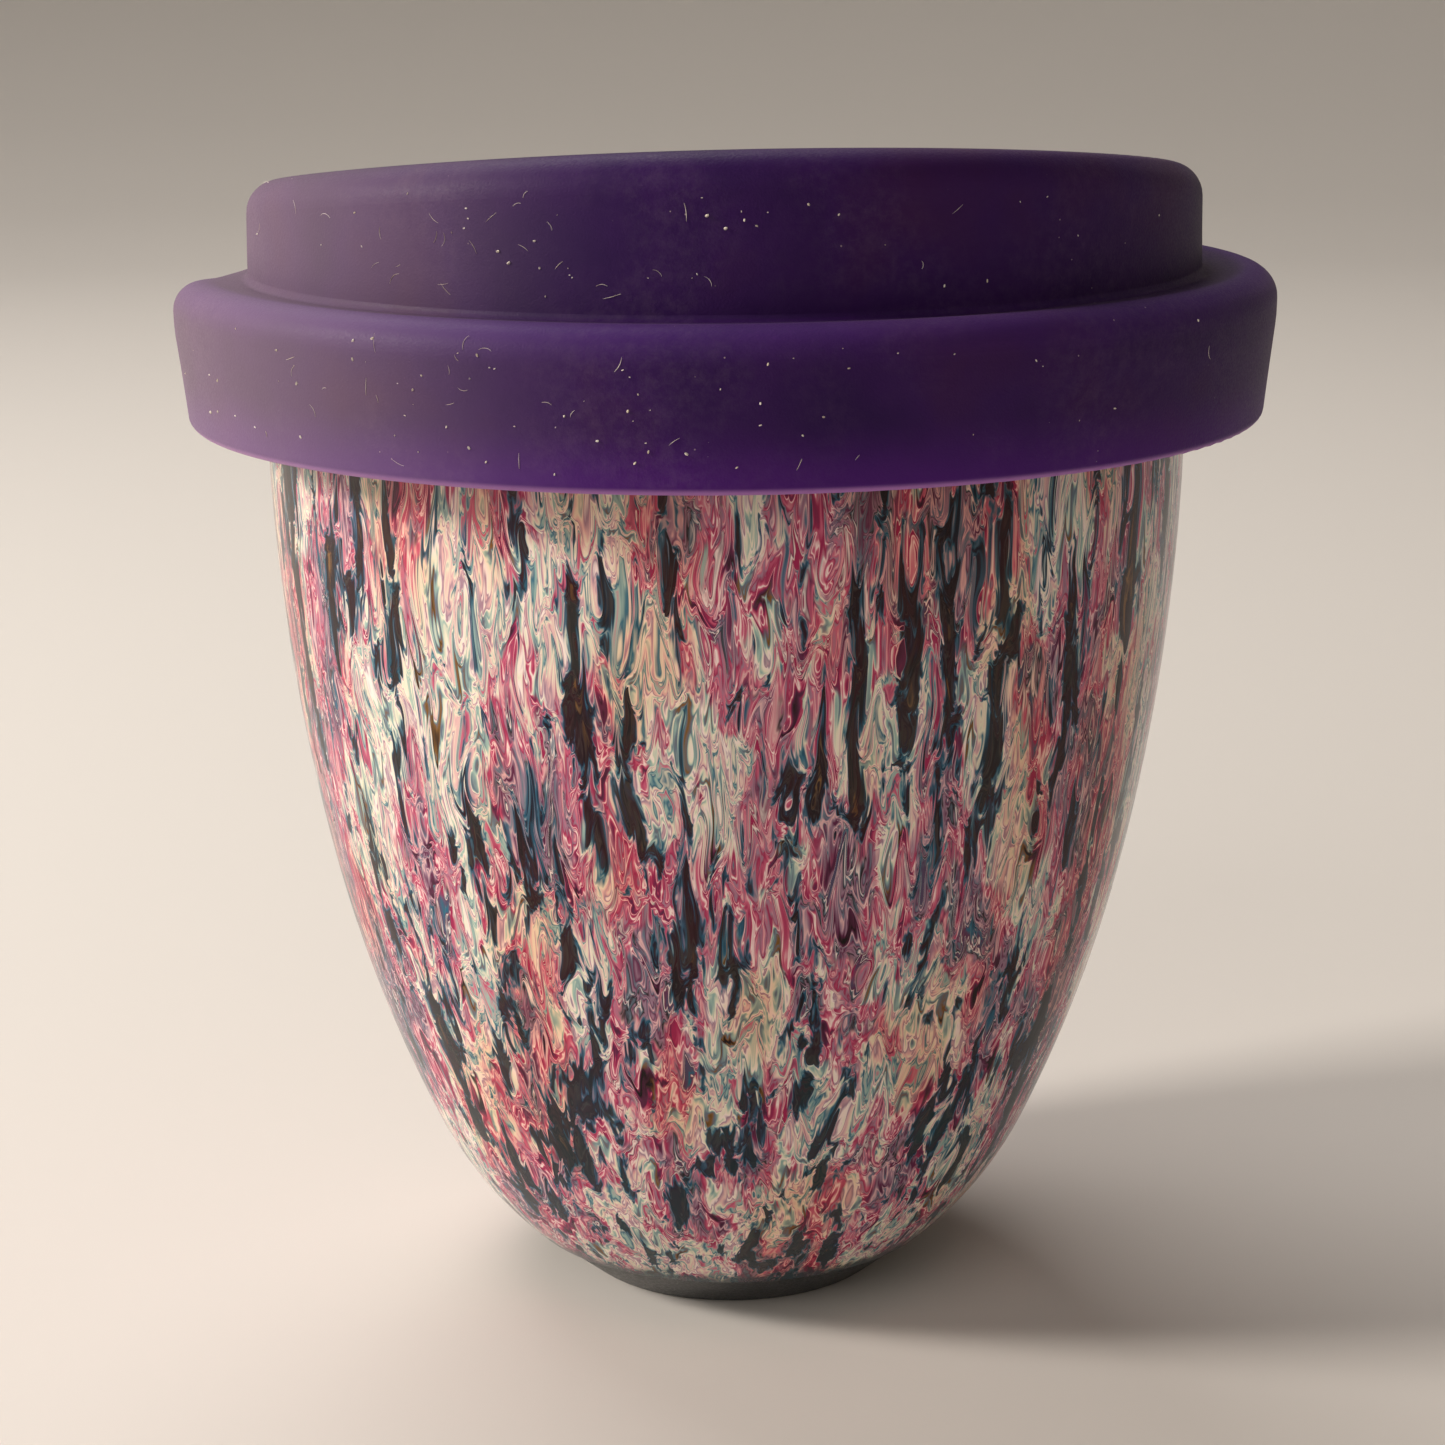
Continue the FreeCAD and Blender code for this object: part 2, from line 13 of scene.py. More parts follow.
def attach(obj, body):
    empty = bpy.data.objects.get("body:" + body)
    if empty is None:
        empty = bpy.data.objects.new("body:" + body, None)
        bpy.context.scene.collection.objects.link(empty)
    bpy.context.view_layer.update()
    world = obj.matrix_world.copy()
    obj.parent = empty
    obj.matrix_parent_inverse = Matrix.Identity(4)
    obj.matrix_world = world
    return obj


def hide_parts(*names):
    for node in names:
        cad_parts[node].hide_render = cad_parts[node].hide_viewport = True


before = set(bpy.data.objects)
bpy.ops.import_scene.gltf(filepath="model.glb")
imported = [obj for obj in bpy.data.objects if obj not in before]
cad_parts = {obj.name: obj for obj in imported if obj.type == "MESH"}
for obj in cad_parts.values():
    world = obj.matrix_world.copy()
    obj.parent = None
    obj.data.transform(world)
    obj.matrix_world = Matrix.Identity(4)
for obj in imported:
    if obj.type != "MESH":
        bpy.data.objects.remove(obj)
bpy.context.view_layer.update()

MM = 0.001

# ---------------------------------------------------------------------------------------------
# Camera, metres from the cup's axis and the table
# ---------------------------------------------------------------------------------------------
CAMERA_DISTANCE = 0.29465
CAMERA_HEIGHT = 0.1251
CAMERA_TURN = math.radians(-6.4)  # the drinking side is turned a little to the right
CAMERA_PITCH = math.radians(13.80)
CAMERA_ROLL = math.radians(-0.5)
CAMERA_YAW = math.radians(0.11)  # so that the cup stands a little right of the middle
CAMERA_LENS = 79.7
SENSOR_WIDTH = 36.0


def link(name, data):
    """Puts a new object into the scene."""
    thing = bpy.data.objects.new(name, data)
    bpy.context.collection.objects.link(thing)
    return thing


def add_camera():
    """The view from a hand's height, looking slightly down on the cup's drinking side."""
    data = bpy.data.cameras.new("camera")
    data.lens = CAMERA_LENS
    data.sensor_width = SENSOR_WIDTH
    data.clip_start = 0.01
    data.clip_end = 20.0
    camera = link("camera", data)
    camera.location = (
        CAMERA_DISTANCE * math.sin(CAMERA_TURN),
        -CAMERA_DISTANCE * math.cos(CAMERA_TURN),
        CAMERA_HEIGHT,
    )
    turn = Matrix.Rotation(CAMERA_TURN + CAMERA_YAW, 4, "Z")
    pitch = Matrix.Rotation(math.radians(90) - CAMERA_PITCH, 4, "X")
    roll = Matrix.Rotation(CAMERA_ROLL, 4, "Z")
    camera.rotation_euler = (turn @ pitch @ roll).to_euler()
    bpy.context.scene.camera = camera


# ---------------------------------------------------------------------------------------------
# Studio, metres and watts
# ---------------------------------------------------------------------------------------------
STUDIO_RADIUS = 2.2
STUDIO_BEND = 1.2  # radius of the bend from the floor up to the wall
STUDIO_HEIGHT = 2.0
FLOOR_RINGS = (0.0, 0.3, 0.7)
BEND_STEPS = 12
STUDIO_SIDES = 96
FLOOR_COLOUR = (0.76, 0.715, 0.665, 1)
WORLD_COLOUR = (0.95, 0.88, 0.80, 1)
WORLD_STRENGTH = 0.03

LIGHTS_AIM = (0.0, 0.0, 0.06)
LIGHTS = (  # name, place, size, power, colour
    ("key", (-0.9, -0.05, 0.50), (0.20, 0.20), 9.2, (1.0, 0.94, 0.87)),
    ("front", (-0.60, -1.0, 0.80), (1.1, 0.8), 4.5, (1.0, 0.96, 0.92)),
    ("top", (-0.25, 0.6, 1.1), (0.9, 0.6), 8.5, (1.0, 0.97, 0.94)),
)


def studio_profile():
    """The floor and backdrop as (radius, height) points from the middle outwards."""
    flat = STUDIO_RADIUS - STUDIO_BEND
    profile = [(ring, 0.0) for ring in FLOOR_RINGS] + [(flat, 0.0)]
    for step in range(1, BEND_STEPS + 1):
        angle = math.pi / 2 * step / BEND_STEPS
        reach = flat + STUDIO_BEND * math.sin(angle)
        profile.append((reach, STUDIO_BEND * (1 - math.cos(angle))))
    profile.append((STUDIO_RADIUS, STUDIO_HEIGHT))
    return profile


def add_floor():
    """A pale floor that curves up into a round backdrop."""
    profile = studio_profile()
    turns = [math.tau * side / STUDIO_SIDES for side in range(STUDIO_SIDES)]
    verts = [
        (reach * math.cos(turn), reach * math.sin(turn), height)
        for reach, height in profile
        for turn in turns
    ]
    faces = []
    for row in range(len(profile) - 1):
        low, high = row * STUDIO_SIDES, (row + 1) * STUDIO_SIDES
        for side in range(STUDIO_SIDES):
            after = (side + 1) % STUDIO_SIDES
            faces.append((low + side, low + after, high + after, high + side))
    mesh = bpy.data.meshes.new("studio_floor")
    mesh.from_pydata(verts, [], faces)
    floor = link("studio_floor", mesh)
    for polygon in mesh.polygons:
        polygon.use_smooth = True
    material = bpy.data.materials.new("studio_floor")
    material.use_nodes = True
    shader = material.node_tree.nodes["Principled BSDF"]
    shader.inputs["Base Color"].default_value = FLOOR_COLOUR
    shader.inputs["Roughness"].default_value = 0.75
    mesh.materials.append(material)


def add_area_light(name, place, size, power, colour):
    """A soft rectangular light that faces the middle of the cup."""
    data = bpy.data.lights.new(name, "AREA")
    data.shape = "RECTANGLE"
    data.size, data.size_y = size
    data.energy = power
    data.color = colour
    light = link(name, data)
    light.location = place
    facing = Vector(LIGHTS_AIM) - Vector(place)
    light.rotation_euler = facing.to_track_quat("-Z", "Y").to_euler()


def add_studio():
    """The floor, a faint warm surround, a key from the left and two larger, softer lights."""
    add_floor()
    world = bpy.data.worlds.new("studio")
    world.use_nodes = True
    bpy.context.scene.world = world
    background = world.node_tree.nodes["Background"]
    background.inputs["Color"].default_value = WORLD_COLOUR
    background.inputs["Strength"].default_value = WORLD_STRENGTH
    for light in LIGHTS:
        add_area_light(*light)
    bpy.context.scene.view_settings.view_transform = "Standard"


# ---------------------------------------------------------------------------------------------
# Node building
# ---------------------------------------------------------------------------------------------
class Graph:
    """Builds a material's nodes. Its methods that add a value return an output socket."""

    def __init__(self, name):
        self.material = bpy.data.materials.new(name)
        self.material.use_nodes = True
        self.nodes = self.material.node_tree.nodes
        self.links = self.material.node_tree.links
        self.shader = self.nodes["Principled BSDF"]

    def node(self, kind, settings=None, inputs=None):
        """Adds a node, sets its properties and then feeds its inputs."""
        node = self.nodes.new(kind)
        for key, value in (settings or {}).items():
            setattr(node, key, value)
        for key, value in (inputs or {}).items():
            self.feed(node.inputs[key], value)
        return node

    def feed(self, socket, value):
        """Links an output socket to an input, or sets a plain value on it."""
        if isinstance(value, bpy.types.NodeSocket):
            self.links.new(value, socket)
        else:
            socket.default_value = value

    def surface(self, inputs):
        """Feeds the shader's inputs by name."""
        for name, value in inputs.items():
            self.feed(self.shader.inputs[name], value)

    def math(self, operation, a, b=0.0, c=0.0):
        return self.node("ShaderNodeMath", {"operation": operation}, {0: a, 1: b, 2: c}).outputs[0]

    def swing(self, noise, weight, base):
        """A base value plus a noise, about its middle, times a weight."""
        return self.math("MULTIPLY_ADD", self.math("SUBTRACT", noise, 0.5), weight, base)

    def vector(self, operation, a, b=(0, 0, 0)):
        node = self.node("ShaderNodeVectorMath", {"operation": operation}, {0: a, 1: b})
        return node.outputs["Value" if operation == "LENGTH" else "Vector"]

    def combine(self, x, y, z):
        return self.node("ShaderNodeCombineXYZ", None, {0: x, 1: y, 2: z}).outputs[0]

    def separate(self, vector):
        """The three outputs of a vector or a colour."""
        return self.node("ShaderNodeSeparateXYZ", None, {0: vector}).outputs

    def noise(self, position, scale, detail=2.0, roughness=0.5, output="Fac"):
        inputs = {"Vector": position, "Scale": scale, "Detail": detail, "Roughness": roughness}
        return self.node("ShaderNodeTexNoise", None, inputs).outputs[output]

    def specks(self, position, scale, spared, largest, edge):
        """Round dots, one at most to a cell. Spared is the share of cells with none."""
        inputs = {"Vector": position, "Scale": scale}
        cells = self.node("ShaderNodeTexVoronoi", None, inputs)
        chance = self.separate(cells.outputs["Color"])[0]
        reach = self.math("MULTIPLY", self.math("SUBTRACT", chance, spared), largest)
        inside = self.math("SUBTRACT", reach, cells.outputs["Distance"])
        return self.map(inside, 0.0, edge)

    def map(self, value, low, high, to_low=0.0, to_high=1.0):
        """Maps a range onto another, with soft ends."""
        settings = {"interpolation_type": "SMOOTHSTEP"}
        inputs = {"Value": value, 1: low, 2: high, 3: to_low, 4: to_high}
        return self.node("ShaderNodeMapRange", settings, inputs).outputs[0]

    def ramp(self, value, stops):
        node = self.node("ShaderNodeValToRGB", None, {"Fac": value})
        elements = node.color_ramp.elements
        while len(elements) < len(stops):
            elements.new(0.5)
        for element, (place, colour) in zip(elements, stops):
            element.position = place
            element.color = colour
        return node.outputs["Color"]

    def mix(self, factor, a, b, blend="MIX"):
        node = self.node("ShaderNodeMix", {"data_type": "RGBA", "blend_type": blend})
        factor_input, a_input, b_input = (node.inputs[index] for index in (0, 6, 7))
        self.feed(factor_input, factor)
        self.feed(a_input, a)
        self.feed(b_input, b)
        return node.outputs[2]

    def bump(self, height, distance, strength):
        """Relief. The distance is in metres, like the scene."""
        inputs = {"Height": height, "Distance": distance, "Strength": strength}
        return self.node("ShaderNodeBump", None, inputs).outputs["Normal"]

    def position(self):
        """The surface point in the row frame, in millimetres."""
        coordinates = self.node("ShaderNodeTexCoord").outputs["Object"]
        node = self.node("ShaderNodeVectorMath", {"operation": "SCALE"}, {0: coordinates})
        self.feed(node.inputs["Scale"], 1 / MM)
        return node.outputs["Vector"]


def srgb(red, green, blue):
    """A colour given in screen values, 0 to 255, as linear light with full alpha."""

    def linear(channel):
        value = channel / 255
        return value / 12.92 if value <= 0.04045 else ((value + 0.055) / 1.055) ** 2.4

    return (linear(red), linear(green), linear(blue), 1.0)


# ---------------------------------------------------------------------------------------------
# Glaze, millimetres
# ---------------------------------------------------------------------------------------------
CUP_RADIUS = 42.0  # at the neck

CREAM = srgb(236, 226, 200)
BLUSH = srgb(226, 180, 178)
ROSE = srgb(206, 98, 126)
CRIMSON = srgb(160, 34, 80)
PLUM = srgb(98, 36, 72)
MAUVE = srgb(158, 124, 144)
SLATE = srgb(100, 114, 130)
TEAL = srgb(36, 98, 124)
MINT = srgb(156, 184, 174)
NAVY = srgb(14, 26, 46)
UMBER = srgb(26, 8, 12)
OCHRE = srgb(126, 88, 42)
FILAMENT = srgb(248, 228, 220)
DEEP_TEAL = srgb(26, 50, 58)
PEACH_TINT = srgb(255, 214, 186)

# Each part of the glaze bands its colours by the same thread noise.
CREAM_BANDS = (
    (0.26, UMBER),
    (0.31, OCHRE),
    (0.36, SLATE),
    (0.405, MINT),
    (0.44, CREAM),
    (0.465, FILAMENT),
    (0.485, MAUVE),
    (0.515, BLUSH),
    (0.545, CREAM),
    (0.58, TEAL),
    (0.605, MINT),
    (0.65, ROSE),
    (0.74, PLUM),
)
PINK_BANDS = (
    (0.26, UMBER),
    (0.34, PLUM),
    (0.38, CRIMSON),
    (0.412, ROSE),
    (0.43, FILAMENT),
    (0.448, ROSE),
    (0.485, CRIMSON),
    (0.51, MAUVE),
    (0.535, ROSE),
    (0.556, BLUSH),
    (0.575, ROSE),
    (0.61, PLUM),
    (0.64, FILAMENT),
    (0.66, CRIMSON),
)
PLUM_BANDS = (
    (0.28, UMBER),
    (0.36, PLUM),
    (0.40, MAUVE),
    (0.43, BLUSH),
    (0.45, MAUVE),
    (0.47, SLATE),
    (0.50, PLUM),
    (0.53, MAUVE),
    (0.56, UMBER),
    (0.59, SLATE),
    (0.61, FILAMENT),
    (0.63, PLUM),
    (0.72, TEAL),
)
DARK_BANDS = (  # from the pale edge of a dark streak inwards
    (0.54, MINT),
    (0.575, TEAL),
    (0.612, NAVY),
    (0.645, UMBER),
    (0.74, UMBER),
    (0.84, OCHRE),
)
PINK_FROM = (0.462, 0.51)
PLUM_FROM = (0.565, 0.62)
DARK_FROM = (0.540, 0.588)
DARK_COVER = 0.96

RUN_HEIGHTS = (14.0, 55.0)  # the glaze ran further on the steep upper wall
LOW_HEIGHTS = (42.0, 16.0)  # darks gather and turn teal towards the foot
EDGE_WAVE = 4.0  # how far the thin dark edge wanders up and down
EDGE_HEIGHTS = (4.4, 2.6)


def flow_position(g, point):
    """The surface point unrolled along the glaze's flow: two across, and the way down the wall."""
    x, y, z = g.separate(point)
    radius = g.vector("LENGTH", g.combine(x, y, 0.0))
    spread = g.math("POWER", g.math("DIVIDE", radius, CUP_RADIUS), -0.4)
    lean = g.math("MULTIPLY_ADD", radius, 0.5, z)
    return g.combine(g.math("MULTIPLY", x, spread), g.math("MULTIPLY", y, spread), lean)


def streaks(g, point, across, along, detail=1.0, roughness=0.5, output="Fac"):
    """Noise along the flow, whose cells are across by along millimetres."""
    scaled = g.vector("MULTIPLY", point, (1 / across, 1 / across, 1 / along))
    return g.noise(scaled, 1.0, detail, roughness, output)


def shifted(g, point, shift):
    return g.vector("ADD", point, g.combine(0.0, 0.0, shift))


def run_down(g, point, reach, across, along):
    """Shifts narrow columns of the flow up and down by up to a reach, which makes drips."""
    column = streaks(g, point, across, along)
    shift = g.math("MULTIPLY", g.math("SUBTRACT", column, 0.5), 2 * reach)
    return shifted(g, point, shift)


def sag(g, point, reach, across, along):
    """Lets narrow columns hang down by up to a reach, round below and sharp between."""
    column = streaks(g, point, across, along, 0.0)
    depth = g.math("MULTIPLY", g.math("ABSOLUTE", g.math("SUBTRACT", column, 0.5)), 4.0)
    return shifted(g, point, g.math("MULTIPLY", depth, reach))


def curl(g, point, reach, across, along):
    """Pushes the flow about sideways and lengthways, which folds its edges."""
    push = streaks(g, point, across, along, output="Color")
    push = g.vector("SUBTRACT", push, (0.5, 0.5, 0.5))
    return g.vector("ADD", point, g.vector("MULTIPLY", push, (2 * reach, 2 * reach, 4 * reach)))


def glaze_flow(g, point, height):
    """The flow in three stages: gently curled, run down in columns, and finely sagged."""
    run = g.map(height, *RUN_HEIGHTS, 0.45, 1.0)
    flow = curl(g, flow_position(g, point), 1.2, 7.0, 10.0)
    wide = run_down(g, flow, 6.0, 2.6, 30.0)
    fine = sag(g, wide, g.math("MULTIPLY", run, 5.5), 1.7, 8.0)
    fine = curl(g, fine, 0.50, 1.8, 2.8)
    fine = sag(g, fine, g.math("MULTIPLY", run, 1.7), 0.62, 3.2)
    fine = curl(g, fine, 0.22, 0.8, 1.3)
    return flow, wide, fine


def glaze_depth(g, wide, fine, thread, low):
    """How deep the dark glaze lies: long streaks, swayed by columns, clumps and ragged edges."""
    depth = streaks(g, fine, 2.2, 26.0, 2.5, 0.6)
    depth = g.swing(thread, 0.30, depth)
    depth = g.swing(streaks(g, wide, 3.6, 70.0), 0.30, depth)
    clump = g.math("MULTIPLY_ADD", low, 0.22, 0.20)
    depth = g.swing(streaks(g, wide, 9.0, 18.0), clump, depth)
    depth = g.swing(streaks(g, fine, 1.5, 3.6, 3.0, 0.65), 0.32, depth)
    return g.math("MULTIPLY_ADD", low, 0.010, depth)


def make_glaze():
    """Glossy reactive glaze that has run down the cup in fine, outlined streaks."""
    g = Graph("outer_glaze")
    point = g.position()
    height = g.separate(point)[2]
    flow, wide, fine = glaze_flow(g, point, height)

    thread = streaks(g, fine, 3.4, 3.6, 2.0, 0.55)
    tone = streaks(g, fine, 2.2, 7.0, 2.0)
    place = g.swing(tone, 0.55, streaks(g, wide, 8.0, 18.0, 2.0, 0.6))
    cream, pink, plum = (
        g.ramp(thread, bands) for bands in (CREAM_BANDS, PINK_BANDS, PLUM_BANDS)
    )
    colour = g.mix(g.map(place, *PINK_FROM), cream, pink)
    colour = g.mix(g.map(place, *PLUM_FROM), colour, plum)

    low = g.map(height, *LOW_HEIGHTS)
    depth = glaze_depth(g, wide, fine, thread, low)
    dark_low = g.math("MULTIPLY", low, g.map(depth, 0.60, 0.64, 0.0, 0.85))
    dark = g.mix(dark_low, g.ramp(depth, DARK_BANDS), DEEP_TEAL)
    colour = g.mix(g.math("MULTIPLY", g.map(depth, *DARK_FROM), DARK_COVER), colour, dark)

    peach_here = g.map(streaks(g, wide, 9.0, 26.0), 0.48, 0.64, 0.0, 0.60)
    colour = g.mix(peach_here, colour, g.mix(1.0, colour, PEACH_TINT, "MULTIPLY"))

    wavy = g.math("MULTIPLY_ADD", streaks(g, wide, 3.0, 3.0, 2.0), -EDGE_WAVE, height)
    colour = g.mix(g.map(wavy, *EDGE_HEIGHTS, 0.0, 0.9), colour, DEEP_TEAL)

    g.surface({
        "Base Color": colour,
        "Roughness": g.map(tone, 0.3, 0.7, 0.13, 0.20),
        "Normal": g.bump(streaks(g, flow, 3.0, 9.0, 2.0), 0.00012, 0.5),
        "IOR": 1.5,
        "Specular IOR Level": 0.2,
    })
    return g.material


def make_liner():
    """Glossy cream glaze inside the cup, with faint pooling and pin-sized iron specks."""
    g = Graph("liner_glaze")
    point = g.position()
    cloud = g.noise(point, 0.10, 4.0, 0.55)
    base = g.ramp(
        cloud,
        ((0.32, srgb(224, 210, 186)), (0.5, srgb(234, 223, 202)), (0.68, srgb(240, 231, 214))),
    )
    iron = g.specks(point, scale=0.35, spared=0.6, largest=0.16, edge=0.03)
    g.surface({
        "Base Color": g.mix(g.math("MULTIPLY", iron, 0.7), base, srgb(96, 62, 40)),
        "Roughness": g.map(cloud, 0.3, 0.7, 0.12, 0.20),
        "Normal": g.bump(g.noise(point, 0.25), 0.00025, 0.5),
        "IOR": 1.5,
    })
    return g.material


def make_stoneware():
    """The bare foot of the cup, coloured very dark, sanded smooth, with grog showing in it."""
    g = Graph("stoneware")
    point = g.position()
    grain = g.noise(point, 3.0, 3.0, 0.6)
    # the foot is coloured very dark
    dark_foot_tone = g.ramp(g.noise(point, 0.25, 4.0), ((0.35, srgb(20, 24, 27)), (0.65, srgb(36, 37, 39))))
    grog = g.math("MULTIPLY", g.map(grain, 0.60, 0.68), 0.35)
    g.surface({
        "Base Color": g.mix(grog, dark_foot_tone, srgb(96, 88, 82)),
        "Roughness": g.map(grain, 0.3, 0.7, 0.26, 0.44),
        "Normal": g.bump(grain, 0.00006, 0.6),
    })
    return g.material


# ---------------------------------------------------------------------------------------------
# Silicone, millimetres
# ---------------------------------------------------------------------------------------------
SKIRT_RADII = (46.0, 47.5)  # from the lid's inside to the outside of its collar
PAINTED_GLOW_HEIGHTS = (89.5, 83.6)  # painted glow on the collar's lower part, standing in for light coming through
PAINTED_RIM_HIGHLIGHT_HEIGHTS = (83.5, 82.95)  # painted highlight line, strongest at the collar's lower edge
PAINTED_SHOULDER_HIGHLIGHT_HEIGHTS = (92.5, 96.0)  # painted highlight that makes the collar's rounded shoulder paler
PAINTED_LIGHT_SIDE = (-2.0, -48.0)  # painted light: the lid's left side is made paler, by how far a point is to the left

VIOLET = ((0.35, srgb(43, 16, 70)), (0.5, srgb(51, 20, 78)), (0.65, srgb(56, 24, 72)))
# painted glow and painted highlight colours of the collar, then the pale colour of dust and of the
# painted light on the left side
PAINTED_GLOW_VIOLET = srgb(84, 28, 124)
PAINTED_RIM_HIGHLIGHT_LILAC = srgb(190, 134, 200)
PAINTED_SHOULDER_HIGHLIGHT_VIOLET = srgb(92, 52, 134)
DUST_AND_PAINTED_LIGHT = srgb(202, 178, 182)


def silicone_colour(g, point):
    """Violet with a painted glow on the collar's lower part and painted highlights on its lower
    edge and shoulder.
    """
    x, y, z = g.separate(point)
    outside = g.map(g.vector("LENGTH", g.combine(x, y, 0.0)), *SKIRT_RADII)
    base = g.ramp(g.noise(point, 0.06, 3.0), VIOLET)
    wander = g.math("MULTIPLY_ADD", g.noise(point, 0.15), 1.6, z)
    # painted glow low on the collar, where light would come through
    painted_glow = g.math("MULTIPLY", g.map(wander, *PAINTED_GLOW_HEIGHTS), outside)
    base = g.mix(g.math("MULTIPLY", painted_glow, 0.5), base, PAINTED_GLOW_VIOLET)
    # painted highlight: a thin lilac line along the collar's lower edge
    painted_rim_highlight = g.math("MULTIPLY", g.map(z, *PAINTED_RIM_HIGHLIGHT_HEIGHTS), outside)
    base = g.mix(g.math("MULTIPLY", painted_rim_highlight, 0.6), base, PAINTED_RIM_HIGHLIGHT_LILAC)
    # painted highlight on the collar's rounded shoulder
    painted_shoulder_highlight = g.math("MULTIPLY", g.map(z, *PAINTED_SHOULDER_HIGHLIGHT_HEIGHTS), outside)
    return g.mix(g.math("MULTIPLY", painted_shoulder_highlight, 0.35), base, PAINTED_SHOULDER_HIGHLIGHT_VIOLET)


def silicone_dust_and_painted_light(g, point):
    """Dust specks, and how much of the surface they and a thin film of dust cover, plus painted
    light that makes the left side paler.
    """
    x, y, _ = g.separate(point)
    dusty = g.map(g.noise(point, 0.07), 0.42, 0.62, 0.05, 1.0)
    specks = g.specks(point, scale=0.9, spared=0.45, largest=0.16, edge=0.02)
    specks = g.math("MULTIPLY", specks, dusty)
    dust_film_and_painted_light = g.map(g.noise(point, 0.9, 5.0, 0.75), 0.35, 0.80, 0.0, 0.04)
    # painted light: the left side is made paler, standing in for the key light falling on it
    side = g.map(g.math("MULTIPLY_ADD", y, -0.2, x), *PAINTED_LIGHT_SIDE, 0.0, 0.24)
    dust_film_and_painted_light = g.math("ADD", g.math("MULTIPLY", dust_film_and_painted_light, dusty), side)
    return specks, g.math("MAXIMUM", g.math("MULTIPLY", specks, 0.5), dust_film_and_painted_light)


def make_silicone(name):
    """Deep violet matte silicone with a painted glow and painted highlights at its thin edges,
    dust that clings, and a left side painted paler as if lit.
    """
    g = Graph(name)
    point = g.position()
    grain = g.noise(point, 5.0)
    specks, dust_and_painted_light_cover = silicone_dust_and_painted_light(g, point)
    relief = g.math("MULTIPLY_ADD", specks, 1.5, grain)
    g.surface({
        # the pale mix is dust, and also painted light on the left side
        "Base Color": g.mix(dust_and_painted_light_cover, silicone_colour(g, point), DUST_AND_PAINTED_LIGHT),
        "Roughness": g.map(grain, 0.3, 0.7, 0.46, 0.60),
        "Normal": g.bump(relief, 0.00004, 0.7),
        "Specular IOR Level": 0.10,
        "Sheen Weight": 0.04,
        "Sheen Roughness": 0.45,
        "Sheen Tint": (1.0, 0.80, 0.84, 1),
    })
    return g.material


def dress(node, material):
    """Gives a CAD node its finished material."""
    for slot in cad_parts[node].material_slots:
        slot.material = material


# ---------------------------------------------------------------------------------------------
# Lid as it sits: pressed on by hand, so its soft collar is a touch lower at the back left
# ---------------------------------------------------------------------------------------------
SLUMP = 2.2  # how far the collar's top is pressed in, millimetres
SLUMP_AZIMUTH = math.radians(147)
SLUMP_HALF = math.radians(52)
SLUMP_RADII = (43.8, 46.6)  # it fades out towards the drum,
SLUMP_HEIGHTS = (83.5, 96.0)  # and towards the collar's lower edge


def smooth_step(value, low, high):
    part = min(max((value - low) / (high - low), 0.0), 1.0)
    return part * part * (3 - 2 * part)


def settle(point):
    """Where a point of the even lid ends up on the lid that was pressed on by hand."""
    x, y, z = (value / MM for value in point)
    away = abs(math.remainder(math.atan2(y, x) - SLUMP_AZIMUTH, math.tau)) / SLUMP_HALF
    if away < 1:
        edge = smooth_step(math.hypot(x, y), *SLUMP_RADII) * smooth_step(z, *SLUMP_HEIGHTS)
        z -= SLUMP * edge * math.cos(away * math.pi / 2) ** 2
    return Vector((x, y, z)) * MM


def press_on_lid(material):
    """The lid's own mesh with the small unevenness of a soft lid on a cup."""
    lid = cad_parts["lid"]
    mesh = lid.data.copy()
    mesh.transform(lid.matrix_world)
    for vertex in mesh.vertices:
        vertex.co = settle(vertex.co)
    mesh.materials.clear()
    mesh.materials.append(material)
    shell = link("lid_shell", mesh)
    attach(shell, "lid")
    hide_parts("lid")
    return shell


# ---------------------------------------------------------------------------------------------
# Lint, metres
# ---------------------------------------------------------------------------------------------
LINT_COUNT = 160
LINT_SEED = 7
LINT_MIDDLE = math.radians(-30)  # it clings mostly to the front left
LINT_SPREAD = math.radians(30)
LINT_LIFT = 0.02 * MM
CRUMB_SHARE = 0.66
COLLAR_HEIGHTS = (0.0845, 0.0945)
DRUM_HEIGHTS = (0.0975, 0.1055)
RAY_START = 0.2


def make_lint_material():
    """Pale, dry fibre."""
    g = Graph("lint")
    tone = g.noise(g.position(), 0.8)
    g.surface({
        "Base Color": g.ramp(tone, ((0.35, srgb(196, 180, 160)), (0.65, srgb(240, 232, 222)))),
        "Roughness": 0.9,
    })
    return g.material


def lid_wall(lid, azimuth, height):
    """The point and outward normal on the lid's outside wall, found by a ray from outside."""
    outward = Vector((math.sin(azimuth), -math.cos(azimuth), 0.0))
    start = outward * RAY_START + Vector((0.0, 0.0, height))
    inverse = lid.matrix_world.inverted()
    hit, place, normal, _ = lid.ray_cast(inverse @ start, inverse.to_3x3() @ -outward)
    if not hit:
        return None
    return lid.matrix_world @ place, (lid.matrix_world.to_3x3() @ normal).normalized()


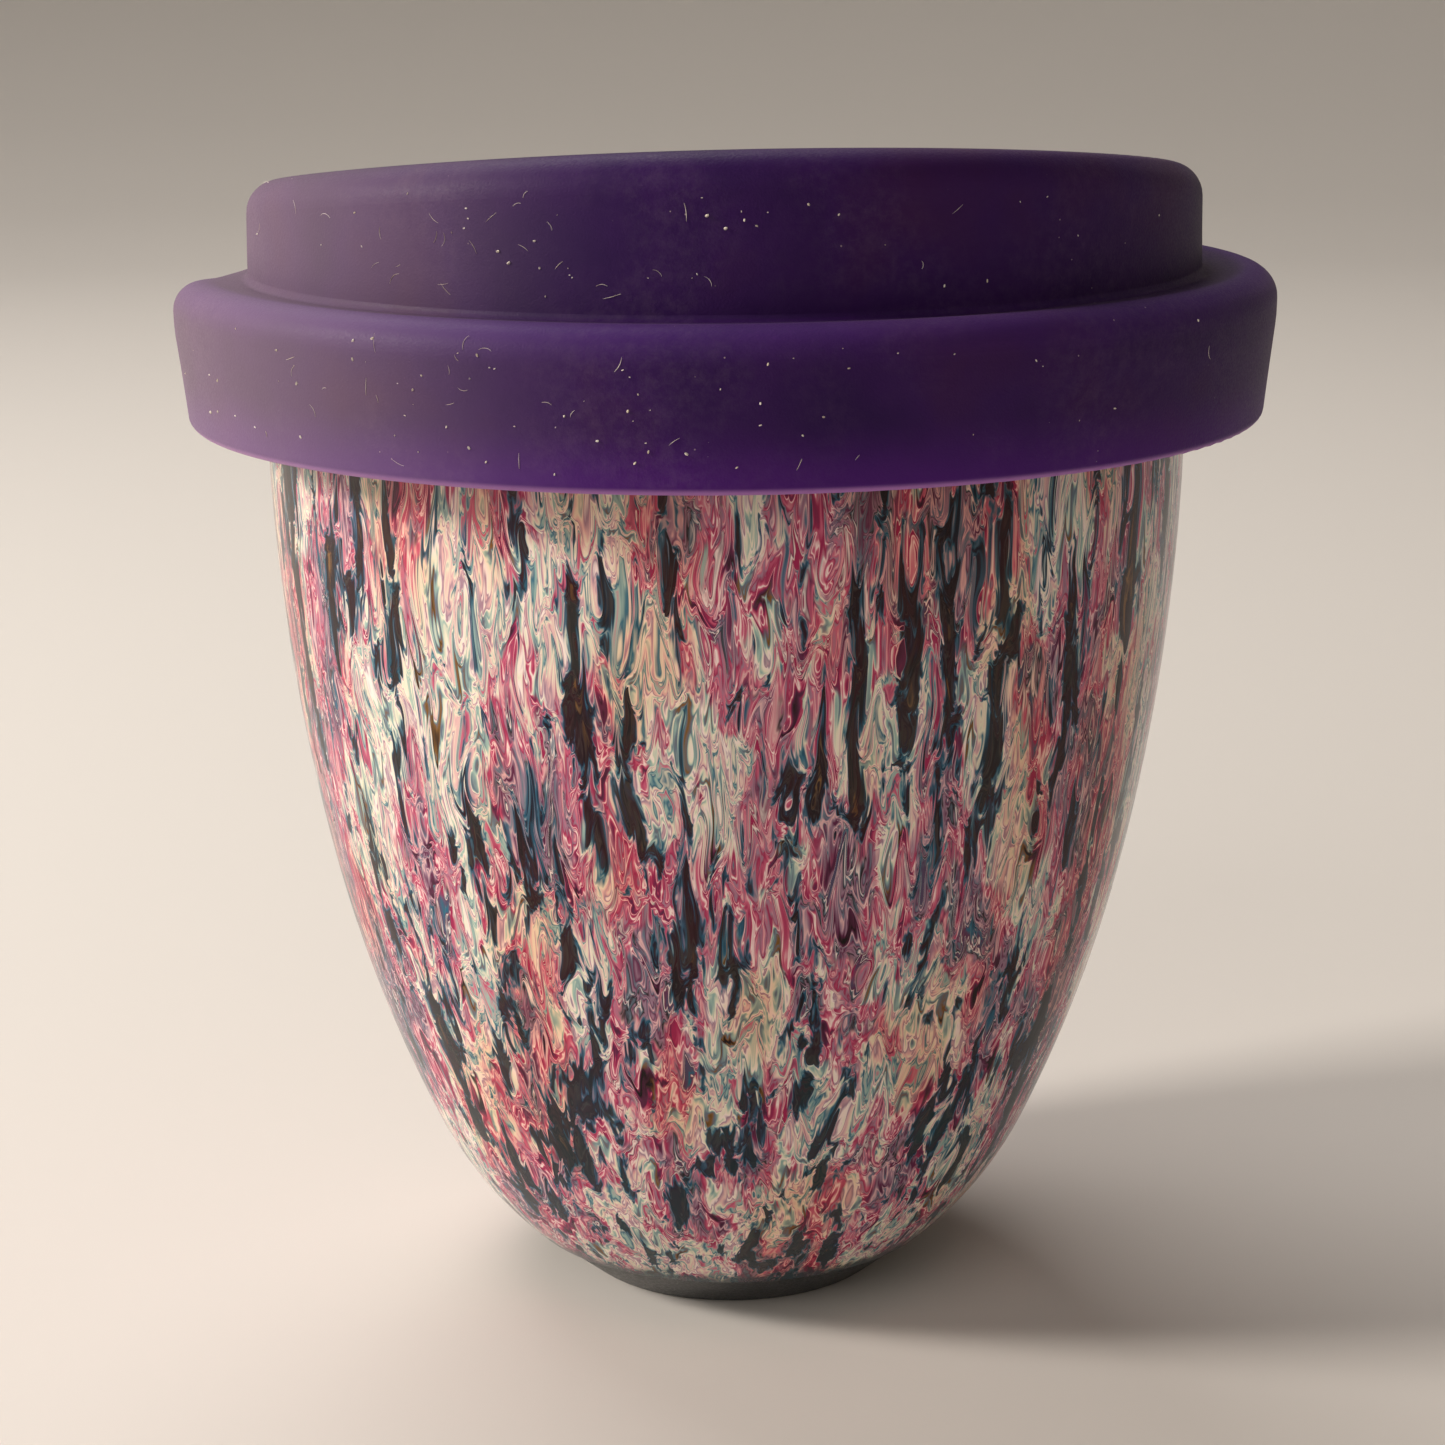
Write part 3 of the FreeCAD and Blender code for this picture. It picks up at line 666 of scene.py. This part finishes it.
def lint_rows(rng, place, normal):
    """One crumb or curved fibre as three-point rows: two edges on the wall and a ridge between."""
    across = normal.cross(Vector((0, 0, 1))).normalized()
    up = across.cross(normal).normalized()
    crumb = rng.random() < CRUMB_SHARE
    length = rng.uniform(0.08, 0.30) * MM if crumb else rng.uniform(0.5, 1.6) * MM
    width = length * rng.uniform(0.5, 0.9) if crumb else rng.uniform(0.03, 0.048) * MM
    heading = rng.uniform(0, math.tau)
    bend = 0.0 if crumb else rng.uniform(-1.6, 1.6)
    steps = 2 if crumb else 8
    point = place + normal * LINT_LIFT
    rows = []
    for step in range(steps + 1):
        angle = heading + bend * step / steps
        ahead = across * math.cos(angle) + up * math.sin(angle)
        side = across * -math.sin(angle) + up * math.cos(angle)
        taper = width * (0.35 + 0.65 * math.sin(math.pi * (step + 0.3) / (steps + 0.6)))
        half = side * taper / 2
        rows.append((point + half, point + normal * taper * 0.7, point - half))
        point = point + ahead * (length / steps)
    return rows


def add_lint(lid, material):
    """Short curved fibres and crumbs that cling to the lid's wall."""
    rng = random.Random(LINT_SEED)
    verts, faces = [], []
    for _ in range(LINT_COUNT):
        azimuth = rng.gauss(LINT_MIDDLE, LINT_SPREAD)
        height = rng.choice((rng.uniform(*COLLAR_HEIGHTS), rng.uniform(*DRUM_HEIGHTS)))
        found = lid_wall(lid, azimuth, height)
        if found is None:
            continue
        rows = lint_rows(rng, *found)
        base = len(verts)
        for row in rows:
            verts.extend(row)
        for step in range(len(rows) - 1):
            for edge in range(3):
                a = base + 3 * step + edge
                b = base + 3 * step + (edge + 1) % 3
                faces.append((a, b, b + 3, a + 3))
        faces.append((base, base + 1, base + 2))
        last = len(verts) - 3
        faces.append((last + 2, last + 1, last))
    mesh = bpy.data.meshes.new("lint")
    mesh.from_pydata([tuple(v) for v in verts], [], faces)
    mesh.materials.append(material)
    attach(link("lint", mesh), "lid")


add_camera()
add_studio()
dress("outer_glaze", make_glaze())
dress("liner_glaze", make_liner())
dress("cup_body", make_stoneware())
lid_shell = press_on_lid(make_silicone("lid_silicone"))
dress("sip_flap", make_silicone("flap_silicone"))
bpy.context.view_layer.update()
add_lint(lid_shell, make_lint_material())
